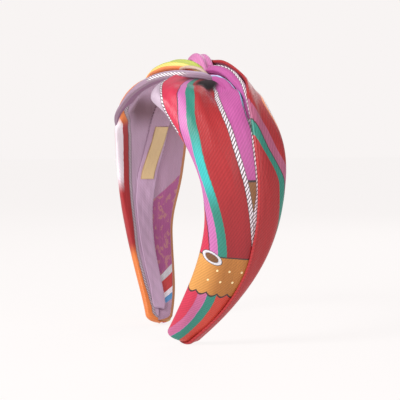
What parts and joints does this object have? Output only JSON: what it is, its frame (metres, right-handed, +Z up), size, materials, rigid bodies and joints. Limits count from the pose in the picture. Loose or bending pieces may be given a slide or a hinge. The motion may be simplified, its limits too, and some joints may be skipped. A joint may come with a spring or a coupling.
{
  "type": "knotted headband",
  "caption": "Wide padded hair band with a knot over the crown, gathered striped cloth over a bent flat core, and a ribbon lining.",
  "frame": {"origin": "on the surface the headband stands on, under the middle of its outer box, with both tips on that surface and the knot on top", "axes": "+Z up from the tips to the knot, X from ear to ear with the wearer's right at +X as the part is drawn, -Y towards the forehead edge and +Y towards the nape edge, along the axis of the head arc"},
  "size_m": [0.1466, 0.057, 0.155],
  "materials": {
    "core_plastic": "moulded, slightly frosted",
    "foam": "soft open-cell sheet foam",
    "lining_cloth": "soft satin ribbon",
    "label_cloth": "woven satin, blank",
    "print_right": "printed twill with a soft sheen",
    "print_left": "printed twill with a soft sheen",
    "thread": "spun sewing thread"
  },
  "bodies": {
    "root": {"core_band": "core_plastic", "foam_strip": "foam", "lining_ribbon": "lining_cloth", "label": "label_cloth", "right_front_panel": "print_right", "right_back_panel": "print_right", "left_front_panel": "print_left", "left_back_panel": "print_left", "right_knot_loop": "print_right", "left_knot_loop": "print_left", "knot_tacks": "thread"}
  },
  "joints": []
}
